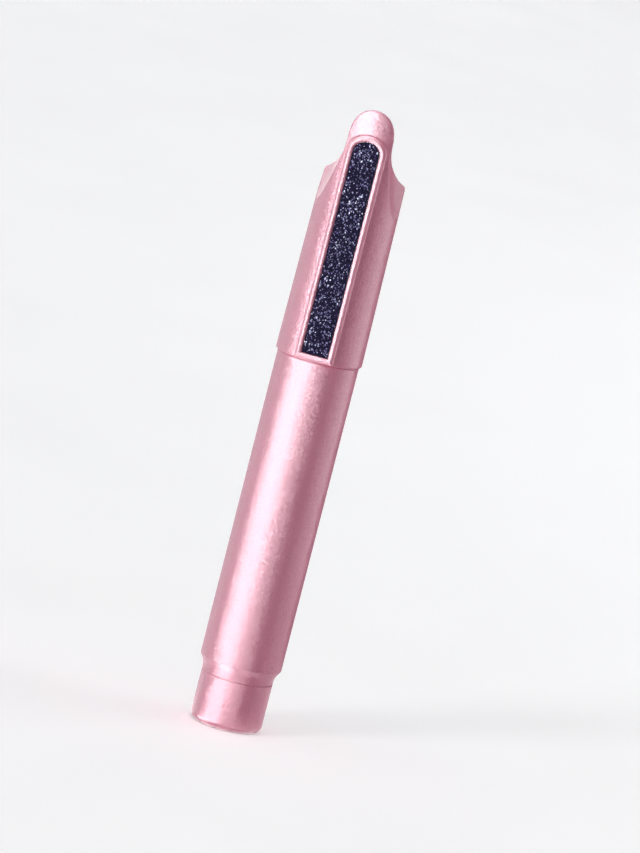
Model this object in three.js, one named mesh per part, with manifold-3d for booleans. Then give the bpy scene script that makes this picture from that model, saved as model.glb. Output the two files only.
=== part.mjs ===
// A felt-tip nail care pen: a nail file and a pusher on its cap, spare felt tips in its tail.
// Millimetres, +Z up. The pen stands on its tail with its axis on Z, and the file faces -Y.

import * as THREE from "three";
import { mergeVertices } from "three/addons/utils/BufferGeometryUtils.js";
import Module from "manifold-3d";

const wasm = await Module();
wasm.setup();

// Outside of the pen
const OVERALL_LENGTH = 120.4;
const CAP_LENGTH = 48.2;
const CAP_RIM_D = 16.5;
const CAP_CORNER_D = 15.7;
const CAP_CORNER_HEIGHT = 34.7;
const BARREL_D = 15.6;
const BARREL_EDGE = 0.1;
const TAIL_D = 13.7;
const TAIL_LENGTH = 9.55;
const TAIL_EDGE_RADIUS = 1.4;
const NECK_LENGTH = 1.1;
const NECK_FILLET = [0.17, 0.24];
const SHOULDER_LENGTH = 1.7;
const SHOULDER_RADIUS = 0.85;
const SHOULDER_SWEEP = 62;

// Gaps between neighbours
const PARTING_GAP = 0.2;
const SEAT_GAP = 0.1;
const SLIDE_GAP = 0.2;
const PRESS_GAP = 0.15;
const FILE_GAP = 0.05;
const OVERCUT = 1;

// Felt tips
const NIB_D = 3;
const NIB_LENGTH = 15;
const NIB_POINT_LENGTH = 3.6;
const NIB_POINT_RADIUS = 0.45;
const NIB_POINT_SLOPE = 20;
const NIB_CHAMFER = 0.3;

// Hollow of the barrel, measured from its rear end
const CHAMBER_D = 12.2;
const STORE_D = 11.2;
const LEDGE_HEIGHT = 18.6;
const RIB_COUNT = 6;
const RIB_WIDTH = 0.8;
const RIB_ROOT = 0.15;
const RIB_TIP_RADIUS = 5.4;
const RIB_LOW = 22;
const RIB_HIGH = 54.5;

// Liquid store inside the barrel
const CORE_D = 9.6;
const CORE_LENGTH = 43.6;
const WRAP_THICKNESS = 0.25;
const WRAP_LENGTH = 42;
const CORE_REST_HEIGHT = 21.8;
const CORE_HOLE_DEPTH = 2.6;
const STOPPER_DISC_HEIGHT = 2.4;
const STOPPER_BOSS_HEIGHT = 2.2;
const STOPPER_LIP_HEIGHT = 0.7;
const STOPPER_GROOVE_DEPTH = 0.5;
const STOPPER_GROOVE_SLOPE = 0.25;
const STOPPER_HOLLOW_D = 7;
const STOPPER_HOLLOW_DEPTH = 2.6;

// Front section, measured from the barrel's front face
const NECK_D = TAIL_D;
const COLLAR_HEIGHT = 5.4;
const COLLAR_CHAMFER = 0.4;
const COLLAR_BEAD_HEIGHT = 3;
const COLLAR_BEAD_RISE = 0.1;
const COLLAR_BEAD_HALF = 0.5;
const SPIGOT_LENGTH = 5;
const SPIGOT_WALL = 0.55;
const SECTION_ROOF = 4.6;
const LAND_D = 11.2;
const LAND_TOP = 8.4;
const NOSE_D = 5.8;
const NOSE_TOP = 11.9;
const NIB_REACH = 4.7;

// Cap hollow and liner, measured from the cap's rim
const CAP_MOUTH_DEPTH = 6.3;
const LINER_D = 12.2;
const LINER_LOW = 6.4;
const LINER_TOP = 28.4;
const LINER_ROOF = 1;
const LINER_WALL = 1.5;
const LINER_LIP_HEIGHT = 4;
const CAP_EDGE = 0.3;

// Pusher end of the cap: [depth, height] points that steer the curve of its back, then its flutes
const BACK_EDGE = [8.3, 33];
const BACK_STEER_LOW = [-1, 33.8];
const BACK_STEER_HIGH = [-5.7, 38.8];
const BACK_TIP = [-6.8, 48.5];
const TONGUE_TIP_RADIUS = 4.25;
const FLUTE_RADIUS = 14;
const FLUTE_OFFSET = 6.9;
const FLUTE_TURN = 18.7;
const FLUTE_LEAN = 14.1;
const FLUTE_LOW = 24;
const FLUTE_BEND = 41.4;
const FLUTE_HIGH = 52;
const FLUTE_SIDES = 96;
const FLUTE_POINTS = 9;
const FLUTE_STEPS = 16;

// File and its frame, measured on the cap's front face
const FILE_WIDTH = 4.95;
const FILE_FOOT = 1.45;
const FILE_LENGTH = 40.7;
const FILE_ARCH = 2.1;
const TAPE_THICKNESS = 0.15;
const PLATE_THICKNESS = 0.3;
const GRIT_THICKNESS = 0.25;
const RECESS_MARGIN = 0.2;
const RECESS_DEPTH = 0.9;
const RECESS_DRAFT = 0.2;
const RIM_MARGIN = 0.85;
const STEP_MARGIN = 1.15;
const STEP_DROP = 0.3;
const FRAME_RISE = 0.5;
const FRAME_ROOT = 1.5;
const FRAME_EDGE = 0.1;

// Spare tip store in the tail
const TAIL_FLOOR = 1.8;
const TAIL_BORE_D = 9.2;
const TAIL_SPIGOT_LENGTH = 6.6;
const TAIL_SPIGOT_CHAMFER = 0.3;
const TAIL_BEAD_HEIGHT = 4;
const TAIL_BEAD_RISE = 0.1;
const TAIL_BEAD_HALF = 0.5;
const RACK_HEIGHT = 6.1;
const SPARE_COUNT = 3;
const SPARE_PITCH_RADIUS = 2.3;
const SOCKET_GAP = 0.2;
const SOCKET_DEPTH = 4.8;

// How finely round pieces are divided
const OUTER_SIDES = 64;
const INNER_SIDES = 40;
const NIB_SIDES = 24;
const ARCH_STEPS = 16;
const BACK_STEPS = 24;
const TIP_STEPS = 20;

// Heights of the main faces
const BARREL_REAR = TAIL_LENGTH + PARTING_GAP;
const CAP_RIM = OVERALL_LENGTH - CAP_LENGTH;
const BARREL_FRONT = CAP_RIM - PARTING_GAP;
const BARREL_LENGTH = BARREL_FRONT - BARREL_REAR;
const CAP_TAPER = Math.atan((CAP_RIM_D - CAP_CORNER_D) / 2 / CAP_CORNER_HEIGHT);

const pearlPink = new THREE.MeshStandardMaterial({ color: 0xd9a3b2, roughness: 0.28, metalness: 0.15 });
const naturalPlastic = new THREE.MeshStandardMaterial({ color: 0xe9e6df, roughness: 0.5, metalness: 0 });
const whiteFelt = new THREE.MeshStandardMaterial({ color: 0xf1eee8, roughness: 0.95, metalness: 0 });
const wetFibre = new THREE.MeshStandardMaterial({ color: 0xe4dcd2, roughness: 0.9, metalness: 0 });
const clearFilm = new THREE.MeshStandardMaterial({ color: 0xe8eaec, roughness: 0.2, metalness: 0 });
const darkGrit = new THREE.MeshStandardMaterial({ color: 0x34343f, roughness: 0.75, metalness: 0.2 });
const stripSteel = new THREE.MeshStandardMaterial({ color: 0xb9bcc0, roughness: 0.35, metalness: 0.9 });
const foamTape = new THREE.MeshStandardMaterial({ color: 0xdcdad2, roughness: 0.85, metalness: 0 });

const radians = THREE.MathUtils.degToRad;

// A closed solid turned about Z from [radius, height] points, up the outside and down the inside.
function turned(profile, sides) {
  const points = profile.map(([radius, height]) => new THREE.Vector2(radius, height));
  return new THREE.LatheGeometry(points, sides).rotateX(Math.PI / 2);
}

// The same, for a tube whose profile returns to its first point.
function turnedRing(profile, sides) {
  return turned([...profile, profile[0]], sides);
}

// A plain rod from one height to another.
function rod(radius, low, high, sides) {
  return turned([[0, low], [radius, low], [radius, high], [0, high]], sides);
}

// Profile points of a round edge between two angles in degrees.
function roundEdge(radius, height, edge, from, to, steps) {
  return Array.from({ length: steps + 1 }, (_, i) => {
    const angle = radians(from + ((to - from) * i) / steps);
    return [radius + edge * Math.cos(angle), height + edge * Math.sin(angle)];
  });
}

// A geometry as a solid that can be joined or cut.
function solid(geometry) {
  const bare = new THREE.BufferGeometry();
  bare.setAttribute("position", geometry.getAttribute("position"));
  bare.setIndex(geometry.getIndex());
  const merged = mergeVertices(bare);
  const index = merged.getIndex().array;
  const corners = [];
  for (let i = 0; i < index.length; i += 3) {
    const [a, b, c] = [index[i], index[i + 1], index[i + 2]];
    if (a !== b && b !== c && c !== a) {
      corners.push(a, b, c);
    }
  }
  const vertProperties = new Float32Array(merged.getAttribute("position").array);
  const triVerts = new Uint32Array(corners);
  return new wasm.Manifold(new wasm.Mesh({ numProp: 3, vertProperties, triVerts }));
}

// A solid back as a geometry.
function geometryOf(body) {
  const { vertProperties, triVerts } = body.getMesh();
  const geometry = new THREE.BufferGeometry();
  geometry.setAttribute("position", new THREE.BufferAttribute(vertProperties, 3));
  geometry.setIndex(new THREE.BufferAttribute(triVerts, 1));
  geometry.computeVertexNormals();
  return geometry;
}

// A flat outline given a thickness, with square edges.
function slab(outline, depth, curveSegments) {
  return new THREE.ExtrudeGeometry(outline, { depth, curveSegments, bevelEnabled: false });
}

// A named piece.
function piece(name, geometry, material) {
  const mesh = new THREE.Mesh(geometry, material);
  mesh.name = name;
  return mesh;
}

// A felt tip with its rear end at zero and its point up.
function nibGeometry() {
  const radius = NIB_D / 2;
  const shoulder = NIB_LENGTH - NIB_POINT_LENGTH;
  const pointCentre = NIB_LENGTH - NIB_POINT_RADIUS;
  return turned([
    [0, 0],
    [radius - NIB_CHAMFER, 0],
    [radius, NIB_CHAMFER],
    [radius, shoulder],
    ...roundEdge(0, pointCentre, NIB_POINT_RADIUS, NIB_POINT_SLOPE, 90, 3),
  ], NIB_SIDES);
}

// Tail piece: a round-edged foot, a skirt as wide as the neck and a spigot that plugs in the barrel.
function tailCapGeometry() {
  const radius = TAIL_D / 2;
  const spigot = STORE_D / 2 - SLIDE_GAP;
  const spigotTop = TAIL_LENGTH + TAIL_SPIGOT_LENGTH;
  const bead = TAIL_LENGTH + TAIL_BEAD_HEIGHT;
  const bore = TAIL_BORE_D / 2;
  return turned([
    [0, 0],
    ...roundEdge(radius - TAIL_EDGE_RADIUS, TAIL_EDGE_RADIUS, TAIL_EDGE_RADIUS, -90, 0, 5),
    [radius, TAIL_LENGTH],
    [spigot, TAIL_LENGTH],
    [spigot, bead - TAIL_BEAD_HALF],
    [spigot + TAIL_BEAD_RISE, bead],
    [spigot, bead + TAIL_BEAD_HALF],
    [spigot, spigotTop - TAIL_SPIGOT_CHAMFER],
    [spigot - TAIL_SPIGOT_CHAMFER, spigotTop],
    [bore, spigotTop],
    [bore, TAIL_FLOOR],
    [0, TAIL_FLOOR],
  ], OUTER_SIDES);
}

// Where the spare tips stand round the axis.
function sparePlaces() {
  return Array.from({ length: SPARE_COUNT }, (_, i) => {
    const angle = radians(90 + (360 * i) / SPARE_COUNT);
    return [SPARE_PITCH_RADIUS * Math.cos(angle), SPARE_PITCH_RADIUS * Math.sin(angle)];
  });
}

// Rack: a block with one blind socket for each spare tip.
function rackGeometry() {
  const low = TAIL_FLOOR + SEAT_GAP;
  const high = low + RACK_HEIGHT;
  let block = solid(rod(TAIL_BORE_D / 2 - PRESS_GAP, low, high, INNER_SIDES));
  for (const [x, y] of sparePlaces()) {
    const socket = rod(NIB_D / 2 + SOCKET_GAP, high - SOCKET_DEPTH, high + OVERCUT, NIB_SIDES);
    block = block.subtract(solid(socket.translate(x, y, 0)));
  }
  return geometryOf(block);
}

// Barrel: a tube with a neck and a rounded shoulder at the rear, a ledge and centring ribs inside.
function barrelGeometry() {
  const neck = NECK_D / 2;
  const outside = BARREL_D / 2;
  const shoulderTop = NECK_LENGTH + SHOULDER_LENGTH;
  const tube = turnedRing([
    [STORE_D / 2, 0],
    [neck - BARREL_EDGE, 0],
    [neck, BARREL_EDGE],
    [neck, NECK_LENGTH],
    [neck + NECK_FILLET[0], NECK_LENGTH + NECK_FILLET[1]],
    ...roundEdge(outside - SHOULDER_RADIUS, shoulderTop, SHOULDER_RADIUS, -SHOULDER_SWEEP, 0, 5),
    [outside, BARREL_LENGTH - BARREL_EDGE],
    [outside - BARREL_EDGE, BARREL_LENGTH],
    [CHAMBER_D / 2, BARREL_LENGTH],
    [CHAMBER_D / 2, LEDGE_HEIGHT],
    [STORE_D / 2, LEDGE_HEIGHT],
  ], OUTER_SIDES);
  let body = solid(tube);
  const ribDepth = CHAMBER_D / 2 - RIB_TIP_RADIUS + RIB_ROOT;
  const ribMiddle = RIB_TIP_RADIUS + ribDepth / 2;
  for (let i = 0; i < RIB_COUNT; i += 1) {
    const rib = new THREE.BoxGeometry(ribDepth, RIB_WIDTH, RIB_HIGH - RIB_LOW);
    rib.translate(ribMiddle, 0, (RIB_LOW + RIB_HIGH) / 2);
    body = body.add(solid(rib.rotateZ((2 * Math.PI * i) / RIB_COUNT)));
  }
  return geometryOf(body);
}

// Stopper: a grooved disc on the barrel's ledge, with a boss below and a hollow under it.
function stopperGeometry() {
  const disc = CHAMBER_D / 2 - PRESS_GAP;
  const boss = STORE_D / 2 - SLIDE_GAP;
  const groove = disc - STOPPER_GROOVE_DEPTH;
  const top = STOPPER_DISC_HEIGHT;
  return turned([
    [0, STOPPER_HOLLOW_DEPTH - STOPPER_BOSS_HEIGHT],
    [STOPPER_HOLLOW_D / 2, STOPPER_HOLLOW_DEPTH - STOPPER_BOSS_HEIGHT],
    [STOPPER_HOLLOW_D / 2, -STOPPER_BOSS_HEIGHT],
    [boss, -STOPPER_BOSS_HEIGHT],
    [boss, 0],
    [disc, 0],
    [disc, STOPPER_LIP_HEIGHT],
    [groove, STOPPER_LIP_HEIGHT + STOPPER_GROOVE_SLOPE],
    [groove, top - STOPPER_LIP_HEIGHT - STOPPER_GROOVE_SLOPE],
    [disc, top - STOPPER_LIP_HEIGHT],
    [disc, top],
    [0, top],
  ], INNER_SIDES);
}

// Fibre rod, with the hole that takes the rear end of the felt tip.
function coreGeometry() {
  const hole = NIB_D / 2 + SLIDE_GAP;
  return turned([
    [0, 0],
    [CORE_D / 2, 0],
    [CORE_D / 2, CORE_LENGTH],
    [hole, CORE_LENGTH],
    [hole, CORE_LENGTH - CORE_HOLE_DEPTH],
    [0, CORE_LENGTH - CORE_HOLE_DEPTH],
  ], INNER_SIDES);
}

// Film sleeve round the fibre rod.
function wrapGeometry() {
  const inside = CORE_D / 2 + PRESS_GAP;
  const outside = inside + WRAP_THICKNESS;
  return turnedRing([[inside, 0], [outside, 0], [outside, WRAP_LENGTH], [inside, WRAP_LENGTH]], INNER_SIDES);
}

// Front section: spigot, collar with a snap bead, seal land and nose, bored for the felt tip.
function sectionGeometry() {
  const spigot = CHAMBER_D / 2 - PRESS_GAP;
  const collar = NECK_D / 2;
  const bore = NIB_D / 2 + PRESS_GAP;
  return turnedRing([
    [spigot - SPIGOT_WALL, -SPIGOT_LENGTH],
    [spigot, -SPIGOT_LENGTH],
    [spigot, SEAT_GAP],
    [collar, SEAT_GAP],
    [collar, COLLAR_BEAD_HEIGHT - COLLAR_BEAD_HALF],
    [collar + COLLAR_BEAD_RISE, COLLAR_BEAD_HEIGHT],
    [collar, COLLAR_BEAD_HEIGHT + COLLAR_BEAD_HALF],
    [collar, COLLAR_HEIGHT - COLLAR_CHAMFER],
    [collar - COLLAR_CHAMFER, COLLAR_HEIGHT],
    [LAND_D / 2, COLLAR_HEIGHT],
    [LAND_D / 2, LAND_TOP],
    [NOSE_D / 2, NOSE_TOP - COLLAR_CHAMFER],
    [NOSE_D / 2 - COLLAR_CHAMFER, NOSE_TOP],
    [bore, NOSE_TOP],
    [bore, SECTION_ROOF],
    [spigot - SPIGOT_WALL, SECTION_ROOF],
  ], INNER_SIDES);
}

// Liner: a cup, open downwards, whose lip slides over the seal land.
function linerGeometry() {
  const outside = LINER_D / 2;
  const lip = LAND_D / 2 + PRESS_GAP;
  const inside = outside - LINER_WALL;
  const lipTop = LINER_LOW + LINER_LIP_HEIGHT;
  return turned([
    [0, LINER_TOP - LINER_ROOF],
    [inside, LINER_TOP - LINER_ROOF],
    [inside, lipTop],
    [lip, lipTop],
    [lip, LINER_LOW],
    [outside, LINER_LOW],
    [outside, LINER_TOP],
    [0, LINER_TOP],
  ], INNER_SIDES);
}

// The cap before it is shaped: a tapered round bar, hollow from below.
function capBlank() {
  const taper = Math.tan(CAP_TAPER);
  const mouth = NECK_D / 2 + SLIDE_GAP;
  const seat = LINER_D / 2 + PRESS_GAP;
  const outer = (height) => CAP_RIM_D / 2 - taper * height;
  return turned([
    [0, LINER_TOP + SEAT_GAP],
    [seat, LINER_TOP + SEAT_GAP],
    [seat, CAP_MOUTH_DEPTH],
    [mouth, CAP_MOUTH_DEPTH - SEAT_GAP],
    [mouth, 0],
    [outer(0) - CAP_EDGE, 0],
    [outer(0), CAP_EDGE],
    [outer(CAP_LENGTH), CAP_LENGTH],
    [0, CAP_LENGTH],
  ], OUTER_SIDES);
}

// Everything behind the pusher blade, under one curve that sweeps up from the back edge to the tip.
function backCutter() {
  const far = CAP_RIM_D;
  const outline = new THREE.Shape();
  outline.moveTo(...BACK_EDGE);
  outline.bezierCurveTo(...BACK_STEER_LOW, ...BACK_STEER_HIGH, ...BACK_TIP);
  outline.lineTo(far, BACK_TIP[1]);
  outline.lineTo(far, BACK_EDGE[1]);
  const block = slab(outline, 2 * far, BACK_STEPS);
  return block.rotateX(Math.PI / 2).rotateZ(Math.PI / 2).translate(-far, 0, 0);
}

// One side flute: a round bar that leans in as it rises and runs straight along the blade.
function fluteCutter(side) {
  const lean = Math.tan(radians(FLUTE_LEAN));
  const turn = radians(FLUTE_TURN);
  const centre = (height) => {
    const leaning = Math.min(height, FLUTE_BEND) - CAP_CORNER_HEIGHT;
    const reach = FLUTE_OFFSET - lean * leaning + FLUTE_RADIUS;
    return new THREE.Vector3(side * reach * Math.cos(turn), -reach * Math.sin(turn), height);
  };
  const heights = Array.from({ length: FLUTE_POINTS }, (_, i) => {
    return FLUTE_LOW + ((FLUTE_HIGH - FLUTE_LOW) * i) / (FLUTE_POINTS - 1);
  });
  const round = new THREE.Shape();
  round.absarc(0, 0, FLUTE_RADIUS, 0, 2 * Math.PI, false);
  return new THREE.ExtrudeGeometry(round, {
    steps: FLUTE_STEPS,
    curveSegments: FLUTE_SIDES,
    extrudePath: new THREE.CatmullRomCurve3(heights.map(centre)),
  });
}

// What lies outside the blade's round end, seen from the front.
function tipCutter() {
  const far = CAP_RIM_D;
  const centre = CAP_LENGTH - TONGUE_TIP_RADIUS;
  const outline = new THREE.Shape();
  outline.moveTo(TONGUE_TIP_RADIUS, centre);
  outline.lineTo(far, centre);
  outline.lineTo(far, CAP_LENGTH + OVERCUT);
  outline.lineTo(-far, CAP_LENGTH + OVERCUT);
  outline.lineTo(-far, centre);
  outline.lineTo(-TONGUE_TIP_RADIUS, centre);
  outline.absarc(0, centre, TONGUE_TIP_RADIUS, Math.PI, 0, true);
  const block = slab(outline, 2 * far, TIP_STEPS);
  return block.rotateX(Math.PI / 2).translate(0, far, 0);
}

// The file's outline grown by a margin: a flat foot and an arched head.
function fileOutline(margin) {
  const half = FILE_WIDTH / 2 + margin;
  const spring = FILE_FOOT + FILE_LENGTH - FILE_ARCH;
  const outline = new THREE.Shape();
  outline.moveTo(-half, FILE_FOOT - margin);
  outline.lineTo(half, FILE_FOOT - margin);
  outline.lineTo(half, spring);
  outline.absellipse(0, spring, half, FILE_ARCH + margin, 0, Math.PI, false, 0);
  outline.closePath();
  return outline;
}

// A layer of that outline between two depths below the frame's top.
function fileLayer(low, high) {
  return slab(fileOutline(0), high - low, ARCH_STEPS).translate(0, 0, low);
}

// The same with its edges eased, for the steps of the frame.
function frameStep(margin, top) {
  const step = new THREE.ExtrudeGeometry(fileOutline(margin - FRAME_EDGE), {
    depth: top + FRAME_ROOT - 2 * FRAME_EDGE,
    bevelThickness: FRAME_EDGE,
    bevelSize: FRAME_EDGE,
    bevelSegments: 1,
    curveSegments: ARCH_STEPS,
  });
  return step.translate(0, 0, FRAME_EDGE - FRAME_ROOT);
}

// The recess: narrow at its floor, with walls that open outwards.
function recessCutter() {
  return new THREE.ExtrudeGeometry(fileOutline(RECESS_MARGIN), {
    depth: FRAME_RISE,
    bevelThickness: RECESS_DEPTH,
    bevelSize: RECESS_DRAFT,
    bevelSegments: 1,
    curveSegments: ARCH_STEPS,
  });
}

// Brings the flat outlines up to the cap's front: x stays, up the file is up the cap, depth faces -Y.
function frontPlace() {
  const turn = new THREE.Matrix4().makeRotationX(Math.PI / 2 - CAP_TAPER);
  return new THREE.Matrix4().makeTranslation(0, -CAP_RIM_D / 2 - FRAME_RISE, 0).multiply(turn);
}

// Cap shell: the blank with the pusher end cut, the frame added and the file's recess sunk.
function capGeometry() {
  const place = frontPlace();
  const outerStep = frameStep(STEP_MARGIN, -STEP_DROP).applyMatrix4(place);
  const rim = frameStep(RIM_MARGIN, 0).applyMatrix4(place);
  const recess = recessCutter().applyMatrix4(place);
  let body = solid(capBlank());
  for (const cutter of [backCutter(), fluteCutter(1), fluteCutter(-1), tipCutter()]) {
    body = body.subtract(solid(cutter));
  }
  return geometryOf(body.add(solid(outerStep)).add(solid(rim)).subtract(solid(recess)));
}

// Tail with its rack and spare tips
const tail = new THREE.Group();
tail.add(piece("tail_cap", tailCapGeometry(), pearlPink));
tail.add(piece("nib_rack", rackGeometry(), naturalPlastic));
sparePlaces().forEach(([x, y], i) => {
  const spare = piece(`spare_nib_${i + 1}`, nibGeometry(), whiteFelt);
  const socketFloor = TAIL_FLOOR + SEAT_GAP + RACK_HEIGHT - SOCKET_DEPTH;
  spare.position.set(x, y, socketFloor + SEAT_GAP);
  tail.add(spare);
});

// Barrel with its liquid store
const barrel = new THREE.Group();
barrel.position.z = BARREL_REAR;
barrel.add(piece("barrel", barrelGeometry(), pearlPink));
const stopper = piece("reservoir_stopper", stopperGeometry(), naturalPlastic);
stopper.position.z = LEDGE_HEIGHT + SEAT_GAP;
const core = piece("reservoir_core", coreGeometry(), wetFibre);
core.position.z = CORE_REST_HEIGHT;
const wrap = piece("reservoir_wrap", wrapGeometry(), clearFilm);
wrap.position.z = CORE_REST_HEIGHT;
barrel.add(stopper, core, wrap);

// Front section and felt tip
const front = new THREE.Group();
front.position.z = BARREL_FRONT;
front.add(piece("front_section", sectionGeometry(), naturalPlastic));
const nib = piece("nib", nibGeometry(), whiteFelt);
nib.position.z = NOSE_TOP + NIB_REACH - NIB_LENGTH;
front.add(nib);

// Cap with its liner and file
const cap = new THREE.Group();
cap.position.z = CAP_RIM;
cap.add(piece("cap_shell", capGeometry(), pearlPink));
cap.add(piece("cap_liner", linerGeometry(), naturalPlastic));
const file = new THREE.Group();
file.applyMatrix4(frontPlace());
const tapeTop = FILE_GAP - RECESS_DEPTH + TAPE_THICKNESS;
const plateTop = tapeTop + FILE_GAP + PLATE_THICKNESS;
const gritTop = plateTop + FILE_GAP + GRIT_THICKNESS;
file.add(piece("file_tape", fileLayer(tapeTop - TAPE_THICKNESS, tapeTop), foamTape));
file.add(piece("file_plate", fileLayer(plateTop - PLATE_THICKNESS, plateTop), stripSteel));
file.add(piece("file_grit", fileLayer(gritTop - GRIT_THICKNESS, gritTop), darkGrit));
cap.add(file);

const pen = new THREE.Group();
pen.add(tail, barrel, front, cap);

export default pen;
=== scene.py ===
import math

import bmesh
import bpy
import numpy as np
from mathutils import Matrix, Vector


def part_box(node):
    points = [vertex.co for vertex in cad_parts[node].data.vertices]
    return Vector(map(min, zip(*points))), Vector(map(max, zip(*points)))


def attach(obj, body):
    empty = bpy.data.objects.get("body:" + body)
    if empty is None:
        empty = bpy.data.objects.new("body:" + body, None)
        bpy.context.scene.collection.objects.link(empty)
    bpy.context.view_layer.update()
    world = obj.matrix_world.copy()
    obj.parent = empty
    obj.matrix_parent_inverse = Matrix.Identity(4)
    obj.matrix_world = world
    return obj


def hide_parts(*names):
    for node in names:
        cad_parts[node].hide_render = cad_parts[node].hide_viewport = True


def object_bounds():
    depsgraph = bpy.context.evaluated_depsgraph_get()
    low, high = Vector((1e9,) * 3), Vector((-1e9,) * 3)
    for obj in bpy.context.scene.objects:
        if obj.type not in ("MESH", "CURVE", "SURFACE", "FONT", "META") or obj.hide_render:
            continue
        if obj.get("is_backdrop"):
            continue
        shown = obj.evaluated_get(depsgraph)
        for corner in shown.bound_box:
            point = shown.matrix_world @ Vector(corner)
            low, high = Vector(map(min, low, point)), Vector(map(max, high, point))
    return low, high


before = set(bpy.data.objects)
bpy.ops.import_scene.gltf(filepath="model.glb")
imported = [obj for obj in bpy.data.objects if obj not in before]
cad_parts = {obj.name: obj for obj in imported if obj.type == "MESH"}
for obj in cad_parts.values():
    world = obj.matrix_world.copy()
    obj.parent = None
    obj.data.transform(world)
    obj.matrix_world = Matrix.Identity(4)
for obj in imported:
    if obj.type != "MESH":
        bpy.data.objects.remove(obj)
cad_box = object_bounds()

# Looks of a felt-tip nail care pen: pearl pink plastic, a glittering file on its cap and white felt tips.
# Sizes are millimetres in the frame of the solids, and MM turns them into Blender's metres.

MM = 0.001

# Heights and radii taken from the solids
RIM_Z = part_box("cap_shell")[0].z / MM
CAP_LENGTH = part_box("cap_shell")[1].z / MM - RIM_Z
CAP_RIM_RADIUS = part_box("cap_shell")[1].x / MM
BARREL_LOW, BARREL_HIGH = (corner.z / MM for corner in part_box("barrel"))
BARREL_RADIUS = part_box("barrel")[1].x / MM
TAIL_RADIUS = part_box("tail_cap")[1].x / MM
SPIGOT_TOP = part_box("tail_cap")[1].z / MM

# Barrel and tail
NECK_TOP = BARREL_LOW + 1.1
NECK_COVE = 3.4
SHOULDER_TOP = BARREL_LOW + 2.75
SHOULDER_EDGE = 0.15
LEDGE_Z = BARREL_LOW + 18.6
CHAMBER_RADIUS = 6.1
STORE_RADIUS = 5.6
TAIL_TOP = BARREL_LOW - 0.2
TAIL_EDGE = 1.4
TAIL_FLOOR = 1.8
TAIL_FLOOR_COVE = 0.4
TAIL_BORE = 4.6
TAIL_BORE_EDGE = 0.15
SPIGOT_RADIUS = 5.4
SPIGOT_EDGE = 0.3
BEAD_Z = TAIL_TOP + 4
BEAD_RADIUS = 5.5
BEAD_HALF = 0.5
BEAD_EDGE = 0.4
BEAD_COVE = 0.2
SEAM_INSET = 0.12
SEAM_LIP = 0.15
SEAM_LIP_EDGE = 0.05
EASED_EDGE = 0.1
LATHE_SIDES = 160
ARC_STEPS = 6

# Cap, measured from its rim
CAP_CORNER_RADIUS = 7.85
CAP_CORNER_HEIGHT = 34.7
CAP_TAPER = math.atan((CAP_RIM_RADIUS - CAP_CORNER_RADIUS) / CAP_CORNER_HEIGHT)
MOUTH_RADIUS = 7.05
MOUTH_DEPTH = 6.3
SEAT_RADIUS = 6.25
SEAT_DEPTH = 28.5
BACK_CURVE = ((8.3, 33), (-1, 33.8), (-5.7, 38.8), (-6.8, 48.5))
BACK_STEPS = 32
BACK_RUN_OUT = 20
TIP_RADIUS = 4.25
FLUTE_RADIUS = 14
FLUTE_OFFSET = 6.9
FLUTE_TURN = math.radians(18.7)
FLUTE_LEAN = math.tan(math.radians(14.1))
FLUTE_BEND = 41.4
FLUTE_HEIGHTS = np.linspace(24, 52, 9)

# File and its frame, measured on the cap's front face
FILE_WIDTH = 4.95
FILE_FOOT = 1.45
FILE_LENGTH = 40.7
FILE_ARCH = 2.1
FILE_ARCH_STEPS = 24
FRAME_RISE = 0.5
FRAME_ROOT = 1.5
RIM_MARGIN = 0.8
RIM_FLARE = 0.8
STEP_MARGIN = 1.15
STEP_DROP = 0.3
RECESS_MARGIN = 0.05
RECESS_DRAFT = 0.1
RECESS_DEPTH = 0.9
BEVEL = 0.26
BEVEL_DEPTH = 0.16
GRIT_LOW = -0.3
GRIT_BED = -0.17
GRAIN_PITCH = 0.4
GRAIN_ROW = 0.87 * GRAIN_PITCH
GRAIN_JITTER = 0.4
GRAIN_INSET = 0.16
GRAIN_SIZE = (0.17, 0.27)
GRAIN_STRETCH = (0.7, 1.25)
GRAIN_CHIPS = (0.85, 1.1)
GRAIN_FLATNESS = 0.6
GRAIN_TOP = -0.02
GRAIN_SEED = 11

# How far the cap's edges are rounded, and the heights between which the frame's fillets widen at its head
EDGE_RIM = 0.35
EDGE_BACK = 0.5
EDGE_FLUTE = 0.08
EDGE_TIP = 0.5
EDGE_FRAME = 0.14
EDGE_STEP = 0.24
EDGE_RIM_TOP = 0.14
EDGE_HEAD = 0.4
HEAD_LOW = 39
HEAD_HIGH = 42.6

# The cap's grid as (start, spacing) stops, finer where the frame, mouth, seat and pusher are
GRID_ACROSS = ((-8.6, 0.2), (-3.9, 0.07), (-2.5, 0.25), (2.5, 0.07), (3.9, 0.2), (8.6, 0))
GRID_DEEP = ((-9.105, 0.07), (-7.5, 0.18), (3, 0.4), (8.6, 0))
GRID_LOW = ((-0.45, 0.1), (2, 0.5), (5.95, 0.15), (6.6, 0.5))
GRID_HIGH = ((28, 0.15), (29, 0.5), (32.4, 0.17), (48.7, 0))
SETTLE_PASSES = 3
SETTLE_REACH = 0.1
LEAST_SLOPE = 0.2

# Felt tips
NIB_RADIUS = 1.5
NIB_LENGTH = 15
NIB_SHOULDER = 11.4
NIB_ROUNDNESS = 0.75
NIB_BLUNTNESS = 6
NIB_FOOT_SHARE = 0.8
NIB_FOOT_RISE = 1.5
NIB_SIDES = 48
NIB_ROWS = 90
NIB_FUZZ = 0.035

# Range that a noise value mostly keeps to
NOISE_LOW = 0.3
NOISE_HIGH = 0.7

# Shades between which the file's grains turn from dull to glinting
GLINT_START = 0.5
GLINT_FULL = 0.52

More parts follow.
